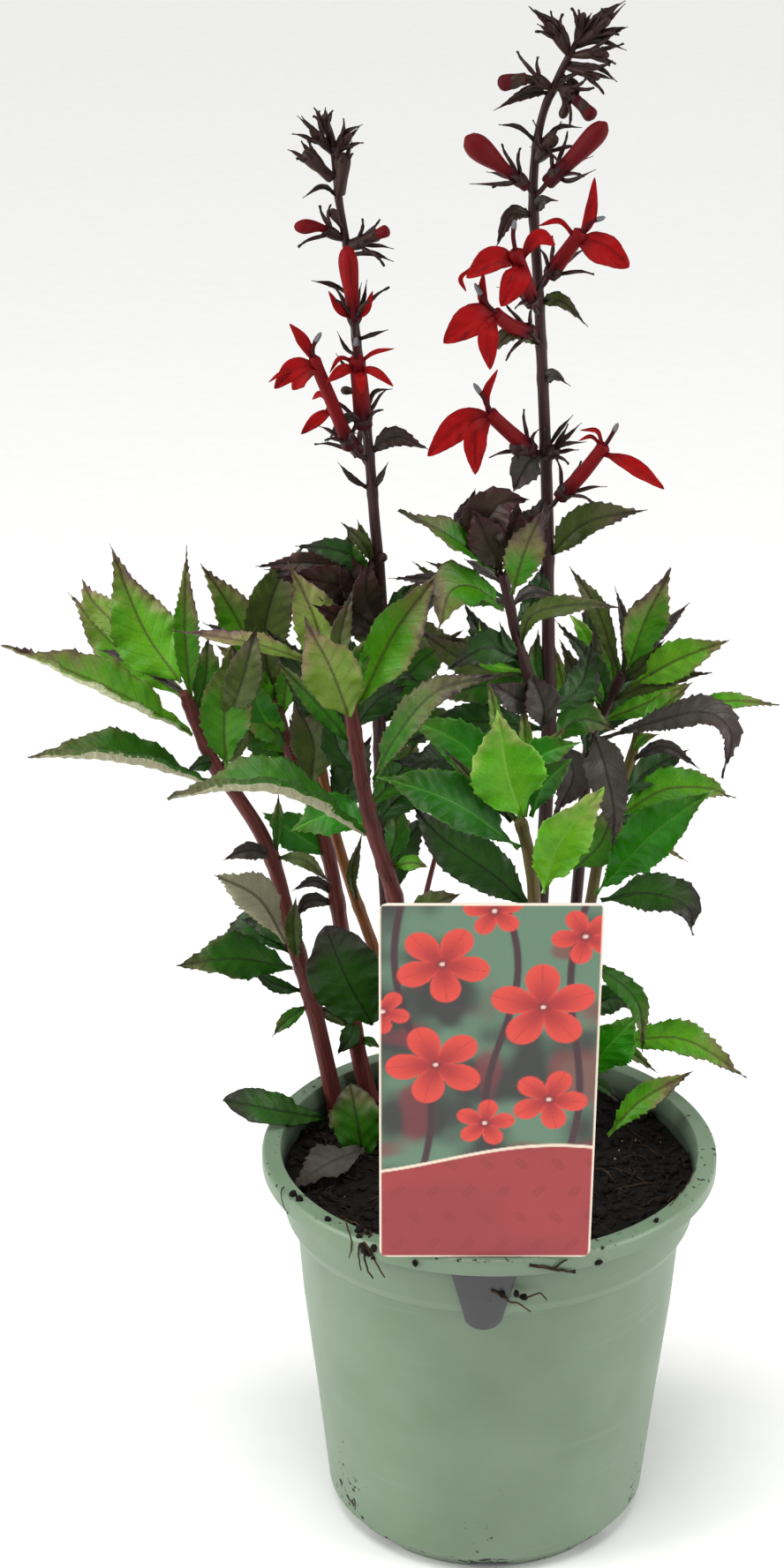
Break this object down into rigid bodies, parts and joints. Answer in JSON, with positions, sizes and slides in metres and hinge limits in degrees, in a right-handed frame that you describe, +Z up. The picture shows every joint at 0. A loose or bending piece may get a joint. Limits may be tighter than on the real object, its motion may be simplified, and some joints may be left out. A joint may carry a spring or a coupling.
{
  "type": "potted lobelia",
  "caption": "Fan scarlet lobelia in a sage green nursery pot of dark compost: lance-shaped green and purple leaves, upright scarlet flower spikes and a tall red plant label at the rim.",
  "frame": {"origin": "centre of the pot's flat base, on the surface it stands on", "axes": "+Z up along the pot's axis; -Y towards the side with the plant label; +X to the right seen from that side"},
  "size_m": [0.2938, 0.2084, 0.6086],
  "materials": {
    "pot": "satin moulded polypropylene, sage green",
    "soil": "moist near-black peat compost",
    "card": "printed plastic card, red",
    "stem": "smooth maroon stem",
    "stem_dark": "smooth purple-brown stem",
    "stem_olive": "smooth olive-brown stem",
    "green": "soft mid-green leaf",
    "bright": "soft yellow-green leaf",
    "pale": "soft pale green leaf",
    "dark": "dark green leaf",
    "olive": "olive leaf with purple tint",
    "purple": "grey-purple leaf",
    "dead": "withered grey-brown leaf",
    "petal": "velvety scarlet petals"
  },
  "bodies": {
    "root": {"bud_right_left_side": "petal", "bud_right_right_side": "petal", "flower_left_closed": "petal", "flower_left_front": "petal", "flower_left_low": "petal", "flower_left_side_view": "petal", "flower_right_front": "petal", "flower_right_low": "petal", "flower_right_middle": "petal", "flower_right_side_view": "petal", "flower_right_spread": "petal", "flower_stem_left": "stem_dark", "flower_stem_right": "stem_dark", "label": "card", "leaf_centre_bright": "bright", "leaf_centre_curl": "bright", "leaf_centre_long": "green", "leaf_centre_shade": "dark", "leaf_dead": "dead", "leaf_front_broad": "pale", "leaf_front_long": "green", "leaf_front_right": "bright", "leaf_front_tall": "bright", "leaf_grey_hanging": "purple", "leaf_inner_across": "pale", "leaf_left_behind": "green", "leaf_left_long": "green", "leaf_left_low": "dark", "leaf_left_round": "pale", "leaf_left_upright": "bright", "leaf_low_curled": "olive", "leaf_low_left": "dark", "leaf_low_right": "bright", "leaf_low_right_long": "green", "leaf_obovate": "dark", "leaf_olive_round": "dark", "leaf_pale_upright": "pale", "leaf_purple_arch": "purple", "leaf_purple_hook": "purple", "leaf_right_bright": "bright", "leaf_right_drooping": "dark", "leaf_right_upper": "green", "leaf_shoot_bent": "green", "leaf_shoot_broad": "green", "leaf_shoot_left_side": "olive", "leaf_shoot_right_side": "bright", "leaf_shoot_right_tall": "olive", "leaf_soil_front": "green", "leaf_soil_left": "green", "leaf_soil_right": "bright", "pot": "pot", "shoot_by_flower_stem": "stem_dark", "shoot_right": "stem_dark", "soil": "soil", "stem_centre": "stem_olive", "stem_front": "stem", "stem_left": "stem", "stem_left_inner": "stem", "stem_orange": "stem_olive", "stem_right": "stem_olive"}
  },
  "joints": []
}
